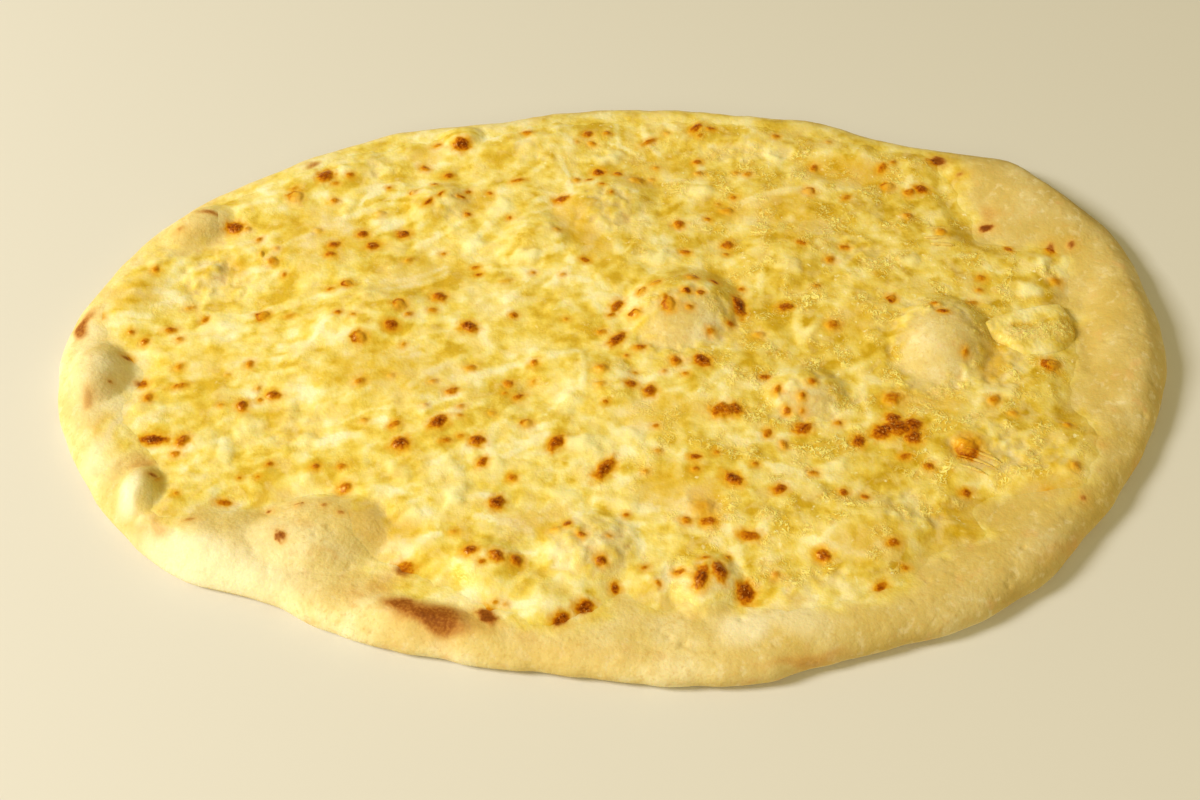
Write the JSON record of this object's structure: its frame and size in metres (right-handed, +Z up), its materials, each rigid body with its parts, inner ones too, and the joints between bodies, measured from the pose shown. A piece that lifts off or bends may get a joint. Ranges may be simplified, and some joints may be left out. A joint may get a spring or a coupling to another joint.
{
  "type": "cheese flatbread",
  "caption": "Whole oval hand-stretched flatbread with a low bare rim, baked under melted cheese with browned blisters and a heap of grated strands.",
  "frame": {"origin": "on the flat underside, in the middle of the outline's box", "axes": "+X along the bread's length, towards the end with the heap of strands; +Y across it; +Z up out of the cheese"},
  "size_m": [0.3242, 0.2192, 0.0144],
  "materials": {
    "baked_dough": "dry, floury baked dough, pale straw with light toasting on its rim",
    "melted_cheese": "oily melted cheese, butter yellow with browned blisters",
    "grated_cheese": "softened grated cheese strands, pale yellow"
  },
  "bodies": {
    "root": {"flatbread": "baked_dough", "melted_cheese": "melted_cheese", "cheese_shred_clump": "grated_cheese"}
  },
  "joints": []
}
